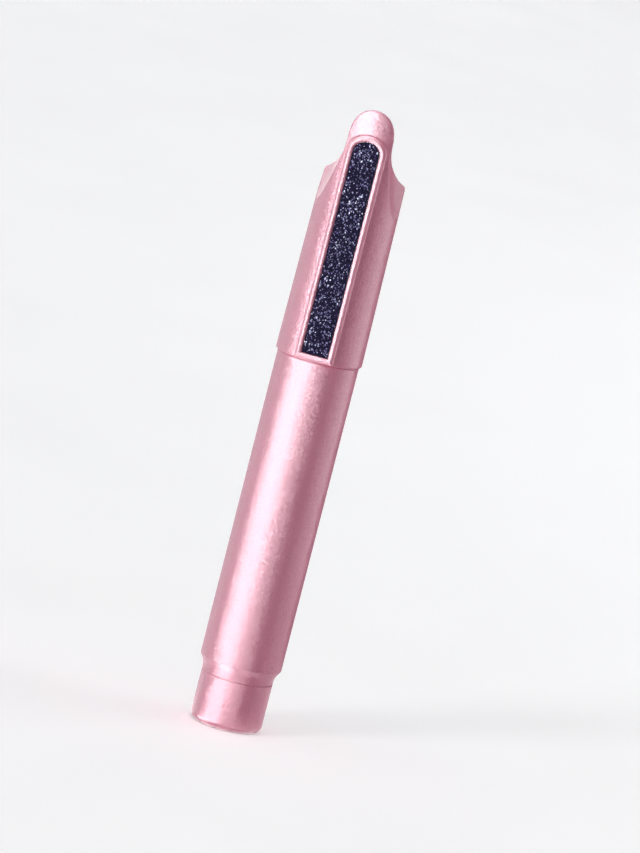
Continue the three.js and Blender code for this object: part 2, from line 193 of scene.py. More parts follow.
# Stage; azimuths are degrees from the front towards +X, and distances are from the pen's axis
MIDDLE = (0, 0, 60)
NEAR_GLOW = 0.25
FAR_GLOW = 0.4
GLOW_REACH = 1500
WORLD_COLOUR = (0.93, 0.94, 0.96, 1)
WORLD_STRENGTH = 0.2
STRIP_LIFT = 0.3
OVER_STRIPS = 2 * STRIP_LIFT
FOOT_LIFT = 0.03
FOOT_SPAN = 28
FOOT_NEAR = 5.8
FOOT_MIDDLE = 7.2
FOOT_FAR = 14
NEAR_STOPS = (FOOT_MIDDLE, 10, 20, 40, 80, 160, 300, 460)
FAR_STOPS = (460, 660, 960, 1920)
BOARD_HEIGHT = 900
TALL_BOARD = 3000
BOARD_REACH = FAR_STOPS[-1]
SIDE_REACH = 1800
LEFT_SPAN = (-64, 2)
LEFT_LIGHT = 21.0
FRONT_SPAN = (4, 31)
FRONT_LIGHT = 6.0
RIGHT_SPAN = (80, 132)
RIGHT_LIGHT = 1.7
OVERHEAD_SIZE = 1400
OVERHEAD_HEIGHT = 1100
OVERHEAD_LIGHT = 6.0
# Colour of the dark cards, which only paint dark reflections in place of shade
DARK_REFLECTION_COLOUR = (0.05, 0.03, 0.04, 1)
CARD_REACH = 1900
CARD_HEIGHT = 700

# Camera at the photograph's angle, for an image 640 wide and 853 high
IMAGE_HEIGHT = 853
FOCAL_PIXELS = 6000
SENSOR = 36
CAMERA_AIM = (3.44, 0.28, 59.54)
CAMERA_AZIMUTH = 5.581
CAMERA_ELEVATION = 9.562
CAMERA_DISTANCE = 1120
CAMERA_ROLL = 14.354


# Mesh helpers


def add(name, data):
    """An object of the scene that shows some data."""
    obj = bpy.data.objects.new(name, data)
    bpy.context.scene.collection.objects.link(obj)
    return obj


def new_object(name, vertices, faces):
    """An object from points in millimetres, with its faces turned outwards."""
    mesh = bpy.data.meshes.new(name)
    mesh.from_pydata([tuple(c * MM for c in v) for v in vertices], [], faces)
    shape = bmesh.new()
    shape.from_mesh(mesh)
    bmesh.ops.recalc_face_normals(shape, faces=shape.faces)
    shape.to_mesh(mesh)
    shape.free()
    return add(name, mesh)


def rounded(corners):
    """Profile points from (radius, height, fillet) corners, with an arc in place of each filleted corner."""
    points = []
    for i, (radius, height, fillet) in enumerate(corners):
        here = Vector((radius, height))
        if not fillet:
            points.append(here)
            continue
        back = (Vector(corners[i - 1][:2]) - here).normalized()
        ahead = (Vector(corners[(i + 1) % len(corners)][:2]) - here).normalized()
        half = back.angle(ahead) / 2
        centre = here + (back + ahead).normalized() * fillet / math.sin(half)
        start = here + back * fillet / math.tan(half) - centre
        end = here + ahead * fillet / math.tan(half) - centre
        arc = math.atan2(start.cross(end), start.dot(end))
        for k in range(ARC_STEPS + 1):
            points.append(centre + Matrix.Rotation(arc * k / ARC_STEPS, 2) @ start)
    return points


def seam_lip(outer, inner, height):
    """Corners of a thin lip that fills a parting line between two radii."""
    top = height + SEAM_LIP
    return [
        (outer - SEAM_INSET, height, 0),
        (outer - SEAM_INSET, top, SEAM_LIP_EDGE),
        (inner + SEAM_INSET, top, SEAM_LIP_EDGE),
        (inner + SEAM_INSET, height, 0),
    ]


def lathe(name, corners):
    """A turned object from a loop of filleted corners that runs up the outside and down the inside."""
    vertices, rings, faces = [], [], []
    for radius, height in rounded(corners):
        around = LATHE_SIDES if radius > 1e-6 else 1
        rings.append([len(vertices) + k for k in range(around)])
        for k in range(around):
            angle = 2 * math.pi * k / around
            vertices.append((radius * math.cos(angle), radius * math.sin(angle), height))
    for low, high in zip(rings, rings[1:] + rings[:1]):
        if len(low) == len(high) == 1:
            continue
        for k in range(LATHE_SIDES):
            n = k + 1
            corner = (low[k % len(low)], low[n % len(low)], high[n % len(high)], high[k % len(high)])
            faces.append(tuple(dict.fromkeys(corner)))
    obj = new_object(name, vertices, faces)
    obj.data.shade_smooth()
    weighted = obj.modifiers.new("even_normals", "WEIGHTED_NORMAL")
    weighted.weight = 100
    return obj


def moulded(node, edge):
    """A copy of a solid with its edges eased, which stands for it."""
    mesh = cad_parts[node].data.copy()
    if "custom_normal" in mesh.attributes:
        mesh.attributes.remove(mesh.attributes["custom_normal"])
    shape = bmesh.new()
    shape.from_mesh(mesh)
    bmesh.ops.remove_doubles(shape, verts=shape.verts, dist=1e-7)
    bmesh.ops.dissolve_limit(shape, angle_limit=math.radians(1), verts=shape.verts, edges=shape.edges)
    shape.to_mesh(mesh)
    shape.free()
    obj = add(f"{node}_moulded", mesh)
    mesh.shade_smooth()
    bevel = obj.modifiers.new("eased_edges", "BEVEL")
    bevel.width = edge * MM
    bevel.segments = 2
    bevel.limit_method = "ANGLE"
    bevel.angle_limit = math.radians(30)
    bevel.harden_normals = True
    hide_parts(node)
    return obj


def meet(a, b, edge):
    """The greater of two distances, with the edge between the surfaces rounded."""
    near = np.maximum(edge - np.abs(a - b), 0)
    return np.maximum(a, b) + near * near / (4 * edge)


def join(a, b, edge):
    """The smaller of two distances, with the corner between the surfaces filled."""
    return -meet(-a, -b, edge)


def slope(distance, points, reach=0.01):
    """The gradient of a distance at some points."""
    steps = np.eye(3) * reach
    return np.stack(
        [distance(*(points + s).T) - distance(*(points - s).T) for s in steps], axis=1
    ) / (2 * reach)


def level_set(name, distance, axes, lean, lift):
    """A smooth object of the surface where a distance is zero, on a leaning grid, lifted by a height."""
    shape = [len(a) for a in axes]
    x, y, z = np.meshgrid(*axes, indexing="ij", sparse=True)
    field = np.broadcast_to(distance(x, y + lean * z, z), shape)

    # A cell's point is the mean of the places where the surface crosses its edges
    cells = [n - 1 for n in shape]
    total = np.zeros((math.prod(cells), 3))
    count = np.zeros(math.prod(cells))
    quads = []
    for axis in range(3):
        low = np.take(field, range(shape[axis] - 1), axis)
        high = np.take(field, range(1, shape[axis]), axis)
        place = np.argwhere((low < 0) != (high < 0))
        before, after = low[tuple(place.T)], high[tuple(place.T)]
        points = np.stack([axes[k][place[:, k]] for k in range(3)], axis=1)
        span = axes[axis][place[:, axis] + 1] - axes[axis][place[:, axis]]
        points[:, axis] += span * before / (before - after)
        ring = []
        for shift in ((0, 0), (1, 0), (1, 1), (0, 1)):
            cell = place.copy()
            cell[:, (axis + 1) % 3] -= shift[0]
            cell[:, (axis + 2) % 3] -= shift[1]
            ring.append(np.ravel_multi_index(cell.T, cells))
            np.add.at(total, ring[-1], points)
            np.add.at(count, ring[-1], 1)
        ring = np.stack(ring, axis=1)
        quads.append(np.where(before[:, None] < 0, ring, ring[:, ::-1]))
    used = np.flatnonzero(count)
    number = np.zeros(len(count), int)
    number[used] = np.arange(len(used))
    points = total[used] / count[used, None]
    points[:, 1] += lean * points[:, 2]

    # The points settle on the surface and take their normals from it
    for _ in range(SETTLE_PASSES):
        gradient = slope(distance, points)
        fall = distance(*points.T) / np.maximum((gradient**2).sum(axis=1), LEAST_SLOPE)
        points -= np.clip(fall, -SETTLE_REACH, SETTLE_REACH)[:, None] * gradient
    normals = slope(distance, points)
    normals /= np.linalg.norm(normals, axis=1, keepdims=True)
    mesh = bpy.data.meshes.new(name)
    placed = (points + (0, 0, lift)) * MM
    mesh.from_pydata(placed.tolist(), [], number[np.concatenate(quads)].tolist())
    mesh.shade_smooth()
    mesh.normals_split_custom_set_from_vertices(normals.tolist())
    return add(name, mesh)


def grid_line(*stops):
    """Grid places from (start, spacing) stops, the last of which ends it."""
    spans = [np.arange(a, b, step) for (a, step), (b, _) in zip(stops, stops[1:])]
    return np.concatenate([*spans, [stops[-1][0]]])


# The cap as distances to its surfaces


def bezier(points, steps):
    """Points along a cubic curve."""
    t = np.linspace(0, 1, steps)[:, None]
    a, b, c, d = (np.array(p, float) for p in points)
    return (1 - t) ** 3 * a + 3 * t * (1 - t) ** 2 * b + 3 * t**2 * (1 - t) * c + t**3 * d


def back_distance(y, z):
    """Distance behind the curve that sweeps up the pusher's back, below zero in the plastic."""
    line = bezier(BACK_CURVE, BACK_STEPS)
    first, last = line[0], line[-1]
    line = np.vstack([first + (BACK_RUN_OUT, 0), line, last + (last - line[-2]) * BACK_RUN_OUT])
    gap = np.inf
    for (ya, za), (yb, zb) in zip(line, line[1:]):
        dy, dz = yb - ya, zb - za
        t = np.clip(((y - ya) * dy + (z - za) * dz) / (dy * dy + dz * dz), 0, 1)
        gap = np.minimum(gap, np.hypot(y - ya - t * dy, z - za - t * dz))
    level = np.interp(y, line[::-1, 0], line[::-1, 1])
    return np.where(z > level, gap, -gap)


def flute_axis(side):
    """Points along the middle of a side flute's round cutter."""
    leaning = np.minimum(FLUTE_HEIGHTS, FLUTE_BEND) - CAP_CORNER_HEIGHT
    reach = FLUTE_OFFSET - FLUTE_LEAN * leaning + FLUTE_RADIUS
    across, ahead = side * math.cos(FLUTE_TURN), -math.sin(FLUTE_TURN)
    return np.stack([across * reach, ahead * reach, FLUTE_HEIGHTS], axis=1)


def line_distance(line, x, y, z):
    """Distance to a line of points."""
    nearest = np.inf
    for a, b in zip(line, line[1:]):
        d = b - a
        t = np.clip(((x - a[0]) * d[0] + (y - a[1]) * d[1] + (z - a[2]) * d[2]) / (d @ d), 0, 1)
        gap = (x - a[0] - t * d[0]) ** 2 + (y - a[1] - t * d[1]) ** 2 + (z - a[2] - t * d[2]) ** 2
        nearest = np.minimum(nearest, gap)
    return np.sqrt(nearest)


def file_outline(u, v, margin):
    """Distance outside the file's outline, grown by a margin: a flat foot and an arched head."""
    half, arch = FILE_WIDTH / 2 + margin, FILE_ARCH + margin
    spring = FILE_FOOT + FILE_LENGTH - FILE_ARCH
    straight = np.maximum(np.abs(u) - half, FILE_FOOT - margin - v)
    rise = np.maximum(v - spring, 0)
    size = np.hypot(u / half, rise / arch)
    curved = (size - 1) * size / np.maximum(np.hypot(u / half**2, rise / arch**2), 1e-6)
    return np.where(v > spring, curved, straight)


def on_front(y, z):
    """Height along the file and depth out of its frame, for a point of the cap."""
    lean, stand = math.sin(CAP_TAPER), math.cos(CAP_TAPER)
    ahead = y + CAP_RIM_RADIUS + FRAME_RISE
    return ahead * lean + z * stand, z * lean - ahead * stand


def from_front(u, v, w):
    """The point of the pen at a place on the file and a depth out of its frame."""
    lean, stand = math.sin(CAP_TAPER), math.cos(CAP_TAPER)
    return u, v * lean - w * stand - CAP_RIM_RADIUS - FRAME_RISE, v * stand + w * lean + RIM_Z


def frame_distances(x, y, z):
    """Distances to the frame's outer step, its rim and the recess in it."""
    v, w = on_front(y, z)
    root = -FRAME_ROOT - w
    step = np.maximum(meet(file_outline(x, v, STEP_MARGIN), w + STEP_DROP, EDGE_FRAME), root)
    skirt = RIM_MARGIN + RIM_FLARE * np.clip(-w, 0, STEP_DROP)
    rim = np.maximum(meet(file_outline(x, v, skirt), w, EDGE_RIM_TOP), root)
    draft = RECESS_DRAFT * (w + RECESS_DEPTH) / RECESS_DEPTH
    bevel = BEVEL * np.maximum(1 + w / BEVEL_DEPTH, 0)
    recess = np.maximum(file_outline(x, v, RECESS_MARGIN + draft + bevel), -RECESS_DEPTH - w)
    return step, rim, recess


def head_fillet(y, z):
    """How much wider the frame's fillets are at a point, which grows towards the file's head."""
    share = np.clip((on_front(y, z)[0] - HEAD_LOW) / (HEAD_HIGH - HEAD_LOW), 0, 1)
    return EDGE_HEAD * share**2 * (3 - 2 * share)


def cap_distance(x, y, z):
    """Distance outside the cap's plastic."""
    radius = np.hypot(x, y)
    body = (radius - CAP_RIM_RADIUS + z * math.tan(CAP_TAPER)) * math.cos(CAP_TAPER)
    body = meet(body, -z, EDGE_RIM)
    body = meet(body, back_distance(y, z), EDGE_BACK)
    for side in (1, -1):
        body = meet(body, FLUTE_RADIUS - line_distance(flute_axis(side), x, y, z), EDGE_FLUTE)
    above = z - CAP_LENGTH + TIP_RADIUS
    body = meet(body, np.minimum(np.hypot(x, above) - TIP_RADIUS, above), EDGE_TIP)
    step, rim, recess = frame_distances(x, y, z)
    head = head_fillet(y, z)
    body = join(body, step, EDGE_STEP + head)
    body = join(body, rim, EDGE_FRAME + head)
    body = meet(body, -recess, EDGE_RIM_TOP)
    mouth = np.maximum(radius - MOUTH_RADIUS, z - MOUTH_DEPTH)
    seat = np.maximum(radius - SEAT_RADIUS, z - SEAT_DEPTH)
    return meet(body, -np.minimum(mouth, seat), EDGE_FRAME)


# Material helpers


def material(name, **sockets):
    """A node material whose shader has these sockets set, with its tree and shader."""
    made = bpy.data.materials.new(name)
    made.use_nodes = True
    shader = made.node_tree.nodes["Principled BSDF"]
    for socket, value in sockets.items():
        shader.inputs[socket.replace("_", " ")].default_value = value
    return made, made.node_tree, shader


def node(tree, kind, **settings):
    """A shader node with these properties or sockets set; sockets are given as a dictionary."""
    made = tree.nodes.new(kind)
    for key, value in settings.pop("sockets", {}).items():
        made.inputs[key].default_value = value
    for key, value in settings.items():
        setattr(made, key, value)
    return made


def millimetres(tree, scale=(1, 1, 1)):
    """Object coordinates in millimetres, stretched by a scale."""
    place = node(tree, "ShaderNodeTexCoord")
    mapping = node(tree, "ShaderNodeMapping", sockets={"Scale": [s / MM for s in scale]})
    tree.links.new(place.outputs["Object"], mapping.inputs["Vector"])
    return mapping.outputs["Vector"]


def noise(tree, vector, scale=1.0, detail=2.0, roughness=0.5):
    """A noise value over a vector."""
    sockets = {"Scale": scale, "Detail": detail, "Roughness": roughness}
    made = node(tree, "ShaderNodeTexNoise", sockets=sockets)
    tree.links.new(vector, made.inputs["Vector"])
    return made.outputs["Fac"]


def spread(tree, value, low, high, start=0.0, end=1.0):
    """A value mapped from start..end to low..high."""
    sockets = {"From Min": start, "From Max": end, "To Min": low, "To Max": high}
    made = node(tree, "ShaderNodeMapRange", sockets=sockets)
    tree.links.new(value, made.inputs["Value"])
    return made.outputs["Result"]


def srgb(colour):
    """A linear colour from 0 to 255 screen values."""
    shares = (c / 255 for c in colour)
    return tuple(s / 12.92 if s <= 0.04045 else ((s + 0.055) / 1.055) ** 2.4 for s in shares)


def colours(tree, value, *stops):
    """A colour ramp over a value, from (place, colour) stops."""
    ramp = node(tree, "ShaderNodeValToRGB")
    elements = ramp.color_ramp.elements
    while len(elements) < len(stops):
        elements.new(0.5)
    for element, (place, colour) in zip(elements, stops):
        element.position = place
        element.color = (*srgb(colour), 1)
    tree.links.new(value, ramp.inputs["Fac"])
    return ramp.outputs["Color"]


def two_tone(tree, value, dark, light):
    """A colour between two, over a noise value."""
    return colours(tree, value, (NOISE_LOW, dark), (NOISE_HIGH, light))


def bump(tree, shader, value, depth, strength):
    """Raises the surface by a value, up to a depth in millimetres."""
    made = node(tree, "ShaderNodeBump", sockets={"Strength": strength, "Distance": depth * MM})
    tree.links.new(value, made.inputs["Height"])
    tree.links.new(made.outputs["Normal"], shader.inputs["Normal"])


# Materials


def pearl(name, dark, light, flake_tilt):
    """Pearl lacquer: tilted mica flakes in cloudy pigment, with fine gloss streaks along the pen."""
    made, tree, shader = material(name, IOR=1.46)
    flakes = node(tree, "ShaderNodeTexVoronoi", sockets={"Scale": 6.0})
    tree.links.new(millimetres(tree, (1, 1, 0.6)), flakes.inputs["Vector"])
    tilt = node(tree, "ShaderNodeVectorMath", operation="MULTIPLY_ADD")
    tilt.inputs[1].default_value = (flake_tilt,) * 3
    tilt.inputs[2].default_value = (-flake_tilt / 2,) * 3
    tree.links.new(flakes.outputs["Color"], tilt.inputs[0])
    facing = node(tree, "ShaderNodeNewGeometry")
    tilted = node(tree, "ShaderNodeVectorMath", operation="ADD")
    tree.links.new(tilt.outputs["Vector"], tilted.inputs[0])
    tree.links.new(facing.outputs["Normal"], tilted.inputs[1])
    even = node(tree, "ShaderNodeVectorMath", operation="NORMALIZE")
    tree.links.new(tilted.outputs["Vector"], even.inputs[0])
    tree.links.new(even.outputs["Vector"], shader.inputs["Normal"])
    streaks = noise(tree, millimetres(tree, (2.2, 2.2, 0.12)), detail=3.0, roughness=0.6)
    gloss = spread(tree, streaks, 0.275, 0.305, NOISE_LOW, NOISE_HIGH)
    tree.links.new(gloss, shader.inputs["Roughness"])
    split = node(tree, "ShaderNodeSeparateColor")
    tree.links.new(flakes.outputs["Color"], split.inputs["Color"])
    cloud = noise(tree, millimetres(tree, (1, 1, 0.3)), scale=0.35)
    mixed = node(tree, "ShaderNodeMath", operation="MULTIPLY_ADD", sockets={1: 0.5})
    tree.links.new(split.outputs["Red"], mixed.inputs[0])
    tree.links.new(spread(tree, cloud, 0.15, 0.35, NOISE_LOW, NOISE_HIGH), mixed.inputs[2])
    tint = colours(tree, mixed.outputs["Value"], (0, dark), (1, light))
    tree.links.new(tint, shader.inputs["Base Color"])
    return made


def natural_plastic():
    """Milky plastic with faint flow marks."""
    made, tree, shader = material(
        "natural_plastic", Subsurface_Weight=0.25, Subsurface_Scale=0.8 * MM, IOR=1.49
    )
    shader.inputs["Subsurface Radius"].default_value = (1.0, 0.95, 0.85)
    flow = noise(tree, millimetres(tree, (1, 1, 0.25)), scale=0.8, detail=3.0)
    tint = two_tone(tree, flow, (226, 222, 213), (241, 239, 233))
    tree.links.new(tint, shader.inputs["Base Color"])
    gloss = spread(tree, flow, 0.38, 0.52, NOISE_LOW, NOISE_HIGH)
    tree.links.new(gloss, shader.inputs["Roughness"])
    bump(tree, shader, noise(tree, millimetres(tree), scale=6.0), depth=0.01, strength=0.4)
    return made


def fibrous(name, dark, light, along, depth):
    """Felt or bundled fibre: fine strands drawn out along the pen."""
    made, tree, shader = material(name, Roughness=0.95, Sheen_Weight=0.35, Sheen_Roughness=0.5)
    strands = noise(tree, millimetres(tree, (9, 9, along)), detail=4.0, roughness=0.65)
    tree.links.new(two_tone(tree, strands, dark, light), shader.inputs["Base Color"])
    bump(tree, shader, strands, depth, strength=0.8)
    return made


def clear_film():
    """Thin clear film with fine wrinkles."""
    made, tree, shader = material("clear_film", Transmission_Weight=0.7, IOR=1.45)
    wrinkles = noise(tree, millimetres(tree, (2, 2, 0.4)), detail=3.0)
    tint = two_tone(tree, wrinkles, (222, 226, 230), (240, 242, 244))
    tree.links.new(tint, shader.inputs["Base Color"])
    tree.links.new(spread(tree, wrinkles, 0.1, 0.3), shader.inputs["Roughness"])
    bump(tree, shader, wrinkles, depth=0.05, strength=0.6)
    return made


def strip_steel():
    """Rolled steel strip, brushed along its length."""
    made, tree, shader = material("strip_steel", Metallic=1.0)
    brushed = noise(tree, millimetres(tree, (14, 14, 0.3)), detail=3.0, roughness=0.6)
    tint = two_tone(tree, brushed, (168, 171, 176), (202, 205, 208))
    tree.links.new(tint, shader.inputs["Base Color"])
    tree.links.new(spread(tree, brushed, 0.25, 0.45), shader.inputs["Roughness"])
    bump(tree, shader, brushed, depth=0.01, strength=0.5)
    return made


def foam_tape():
    """Off-white foam tape with fine open cells."""
    made, tree, shader = material("foam_tape", Roughness=0.9)
    cells = node(tree, "ShaderNodeTexVoronoi", sockets={"Scale": 9.0})
    tree.links.new(millimetres(tree), cells.inputs["Vector"])
    tint = colours(tree, cells.outputs["Distance"], (0, (196, 193, 184)), (0.6, (226, 224, 216)))
    tree.links.new(tint, shader.inputs["Base Color"])
    bump(tree, shader, cells.outputs["Distance"], depth=0.04, strength=0.7)
    return made


def grit():
    """Dark file grit: half of the grains are dull violet and half glint, each in a shade of its own."""
    made, tree, shader = material("grit", Specular_IOR_Level=0.0, Specular_Tint=(0.25, 0.25, 0.32, 1))
    shade = node(tree, "ShaderNodeAttribute", attribute_name="grain")
    tint = colours(
        tree,
        shade.outputs["Fac"],
        (0, (40, 36, 60)),
        (GLINT_START, (60, 53, 86)),
        (GLINT_FULL, (22, 20, 34)),
        (0.84, (34, 33, 46)),
        (0.95, (48, 48, 60)),
        (1, (76, 78, 88)),
    )
    tree.links.new(tint, shader.inputs["Base Color"])
    glint = spread(tree, shade.outputs["Fac"], 0, 1, GLINT_START, GLINT_FULL)
    tree.links.new(glint, shader.inputs["Metallic"])
    pits = noise(tree, millimetres(tree), scale=11.0)
    gloss = spread(tree, pits, 0.24, 0.4, NOISE_LOW, NOISE_HIGH)
    tree.links.new(gloss, shader.inputs["Roughness"])
    bump(tree, shader, pits, depth=0.02, strength=0.3)
    return made


pearl_pink = pearl("pearl_pink", dark=(178, 107, 128), light=(196, 122, 143), flake_tilt=0.22)
plastic = natural_plastic()
white_felt = fibrous("white_felt", (222, 217, 208), (246, 243, 237), along=0.7, depth=0.05)
wet_fibre = fibrous("wet_fibre", (205, 196, 184), (233, 226, 216), along=0.15, depth=0.04)
file_grit = grit()


def dress(obj, body, look):
    """Gives a piece its material and the body that the piece rides on."""
    obj.data.materials.clear()
    obj.data.materials.append(look)
    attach(obj, body)


# Barrel and tail

barrel = lathe("barrel_shell", [
    (STORE_RADIUS, BARREL_LOW, EASED_EDGE),
    (TAIL_RADIUS, BARREL_LOW, EASED_EDGE),
    (TAIL_RADIUS, NECK_TOP, NECK_COVE),
    (BARREL_RADIUS, SHOULDER_TOP, SHOULDER_EDGE),
    (BARREL_RADIUS, BARREL_HIGH, EASED_EDGE),
    *seam_lip(BARREL_RADIUS, TAIL_RADIUS, BARREL_HIGH),
    (CHAMBER_RADIUS, BARREL_HIGH, EASED_EDGE),
    (CHAMBER_RADIUS, LEDGE_Z, EASED_EDGE),
    (STORE_RADIUS, LEDGE_Z, EASED_EDGE),
])
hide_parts("barrel")
dress(barrel, "barrel_body", pearl_pink)

tail = lathe("tail_shell", [
    (0, 0, 0),
    (TAIL_RADIUS, 0, TAIL_EDGE),
    (TAIL_RADIUS, TAIL_TOP, EASED_EDGE),
    *seam_lip(TAIL_RADIUS, STORE_RADIUS, TAIL_TOP),
    (SPIGOT_RADIUS, TAIL_TOP, EASED_EDGE),
    (SPIGOT_RADIUS, BEAD_Z - BEAD_HALF, BEAD_COVE),
    (BEAD_RADIUS, BEAD_Z, BEAD_EDGE),
    (SPIGOT_RADIUS, BEAD_Z + BEAD_HALF, BEAD_COVE),
    (SPIGOT_RADIUS, SPIGOT_TOP, SPIGOT_EDGE),
    (TAIL_BORE, SPIGOT_TOP, TAIL_BORE_EDGE),
    (TAIL_BORE, TAIL_FLOOR, TAIL_FLOOR_COVE),
    (0, TAIL_FLOOR, 0),
])
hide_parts("tail_cap")
dress(tail, "tail_body", pearl_pink)

# Cap, on a grid that leans with the file

cap_grid = [grid_line(*stops) for stops in (GRID_ACROSS, GRID_DEEP, GRID_LOW + GRID_HIGH)]
cap = level_set("cap_pusher_shell", cap_distance, cap_grid, math.tan(CAP_TAPER), RIM_Z)
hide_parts("cap_shell")
dress(cap, "cap_body", pearl_pink)

# File: a dark bed set with sharp grains


def grain_places(random):
    """Jittered places over the file on a honeycomb, kept inside its outline."""
    rows = int(FILE_LENGTH / GRAIN_ROW) + 2
    columns = int(FILE_WIDTH / GRAIN_PITCH) + 2
    for row in range(rows):
        for column in range(columns):
            u = (column + 0.5 * (row % 2) - columns / 2) * GRAIN_PITCH
            v = FILE_FOOT + row * GRAIN_ROW
            u, v = (u, v) + random.uniform(-GRAIN_JITTER, GRAIN_JITTER, 2) * GRAIN_PITCH
            if file_outline(u, v, -GRAIN_INSET) < 0:
                yield u, v


def file_edge():
    """Points round the file's outline: up its right side, over its arched head and down its left side."""
    half, top = FILE_WIDTH / 2, FILE_FOOT + FILE_LENGTH
    edge = [(half, FILE_FOOT), (half, top - FILE_ARCH)]
    for k in range(1, FILE_ARCH_STEPS + 1):
        angle = math.pi * k / FILE_ARCH_STEPS
        edge.append((half * math.cos(angle), top - FILE_ARCH * (1 - math.sin(angle))))
    edge.append((-half, FILE_FOOT))
    return edge


def grit_mesh():
    """The bed and its grains, with a shade for each grain."""
    random = np.random.default_rng(GRAIN_SEED)
    shape = bmesh.new()
    shade = shape.verts.layers.float.new("grain")
    edge = file_edge()
    rings = []
    for depth in (GRIT_LOW, GRIT_BED):
        rings.append([shape.verts.new(from_front(u, v, depth)) for u, v in edge])
    shape.faces.new(rings[0])
    shape.faces.new(rings[1])
    for k in range(len(edge)):
        n = (k + 1) % len(edge)
        shape.faces.new((rings[0][k], rings[0][n], rings[1][n], rings[1][k]))
    for u, v in grain_places(random):
        size = random.uniform(*GRAIN_SIZE)
        made = bmesh.ops.create_icosphere(shape, subdivisions=1, radius=1)["verts"]
        turn = Vector(random.normal(size=3)).normalized()
        spin = Matrix.Rotation(random.uniform(0, math.pi), 3, turn)
        stretch = random.uniform(*GRAIN_STRETCH, 3)
        tone = random.uniform(0, 1)
        for vertex in made:
            local = spin @ Vector(vertex.co * Vector(stretch)) * size * random.uniform(*GRAIN_CHIPS)
            w = min(GRIT_BED + GRAIN_FLATNESS * local.z, GRAIN_TOP)
            vertex.co = from_front(u + local.x, v + local.y, w)
            vertex[shade] = tone
    for vertex in shape.verts:
        vertex.co *= MM
    bmesh.ops.recalc_face_normals(shape, faces=shape.faces)
    mesh = bpy.data.meshes.new("file_grains")
    shape.to_mesh(mesh)
    shape.free()
    return mesh


grains = add("file_grains", grit_mesh())
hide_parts("file_grit")
dress(grains, "cap_body", file_grit)

# Felt tips


def nib_radius(height):
    """A felt tip's radius at a height above its foot: eased at the foot, round and blunt at the tip."""
    taper = max(0.0, (height - NIB_SHOULDER) / (NIB_LENGTH - NIB_SHOULDER))
    fall = taper**2 * (NIB_ROUNDNESS + (1 - NIB_ROUNDNESS) * taper**NIB_BLUNTNESS)
    radius = NIB_RADIUS * math.sqrt(max(1 - fall, 0.0))
    return radius * min(1.0, NIB_FOOT_SHARE + height / NIB_FOOT_RISE)


def felt_tip(name, foot):
    """A felt tip with a fuzzy skin, standing on a point."""
    random = np.random.default_rng(sum(name.encode()))
    vertices, faces = [], []
    for row in range(NIB_ROWS):
        height = NIB_LENGTH * row / NIB_ROWS
        radius = nib_radius(height)
        for k in range(NIB_SIDES):
            angle = 2 * math.pi * k / NIB_SIDES
            fuzzy = radius - NIB_FUZZ * random.random() * min(1, radius)
            vertices.append((
                foot.x / MM + fuzzy * math.cos(angle),
                foot.y / MM + fuzzy * math.sin(angle),
                foot.z / MM + height,
            ))
    tip = len(vertices)
    vertices.append((foot.x / MM, foot.y / MM, foot.z / MM + NIB_LENGTH))
    for row in range(NIB_ROWS):
        for k in range(NIB_SIDES):
            a, b = row * NIB_SIDES + k, row * NIB_SIDES + (k + 1) % NIB_SIDES
            above = (b + NIB_SIDES, a + NIB_SIDES) if row < NIB_ROWS - 1 else (tip,)
            faces.append((a, b, *above))
    faces.append(tuple(range(NIB_SIDES)))
    obj = new_object(f"{name}_felt", vertices, faces)
    obj.data.shade_smooth()
    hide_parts(name)
    dress(obj, f"{name}_body", white_felt)


for name in ("nib", "spare_nib_1", "spare_nib_2", "spare_nib_3"):
    low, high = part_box(name)
    felt_tip(name, Vector(((low.x + high.x) / 2, (low.y + high.y) / 2, low.z)))

# Plain plastic pieces inside

for name, body, edge in (
    ("front_section", "barrel_body", 0.12),
    ("reservoir_stopper", "barrel_body", 0.1),
    ("cap_liner", "cap_body", 0.12),
    ("nib_rack", "tail_body", 0.1),
):
    dress(moulded(name, edge), body, plastic)

# Solids that keep their shape and only take a material

for name, look in (
    ("reservoir_core", wet_fibre),
    ("reservoir_wrap", clear_film()),
    ("file_plate", strip_steel()),
    ("file_tape", foam_tape()),
):
    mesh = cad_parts[name].data
    mesh.materials.clear()
    mesh.materials.append(look)

# Floor


def pale(name, dark, light):
    """A pale matt surface with a faint cloudiness, which glows a little where it is seen."""
    made, tree, shader = material(name, Roughness=1.0, Specular_IOR_Level=0.0)
    cloud = noise(tree, millimetres(tree), scale=0.02)
    tint = two_tone(tree, cloud, dark, light)
    tree.links.new(tint, shader.inputs["Base Color"])
    tree.links.new(tint, shader.inputs["Emission Color"])
    ray = node(tree, "ShaderNodeLightPath")
    seen = ray.outputs["Is Camera Ray"]
    for kind in ("Is Glossy Ray", "Is Transmission Ray"):
        either = node(tree, "ShaderNodeMath", operation="MAXIMUM")
        tree.links.new(seen, either.inputs[0])
        tree.links.new(ray.outputs[kind], either.inputs[1])
        seen = either.outputs["Value"]
    axes = node(tree, "ShaderNodeSeparateXYZ")
    tree.links.new(millimetres(tree), axes.inputs["Vector"])
    glow = node(tree, "ShaderNodeMath", operation="MULTIPLY")
    tree.links.new(seen, glow.inputs[0])
    strength = spread(tree, axes.outputs["Y"], NEAR_GLOW, FAR_GLOW, 0, GLOW_REACH)
    tree.links.new(strength, glow.inputs[1])
    tree.links.new(glow.outputs["Value"], shader.inputs["Emission Strength"])
    return made


def sweep(name, front, back, half_width, bend, height, steps=16):
    """A floor that curves up into a backdrop."""
    line = [(-front, 0.0), (back - bend, 0.0)]
    for k in range(1, steps + 1):
        angle = math.pi / 2 * k / steps
        line.append((back - bend + bend * math.sin(angle), bend - bend * math.cos(angle)))
    line.append((back, height))
    vertices = [(x, y, z) for y, z in line for x in (-half_width, half_width)]
    faces = [(2 * k, 2 * k + 1, 2 * k + 3, 2 * k + 2) for k in range(len(line) - 1)]
    obj = new_object(name, vertices, faces)
    obj.data.shade_smooth()
    return obj


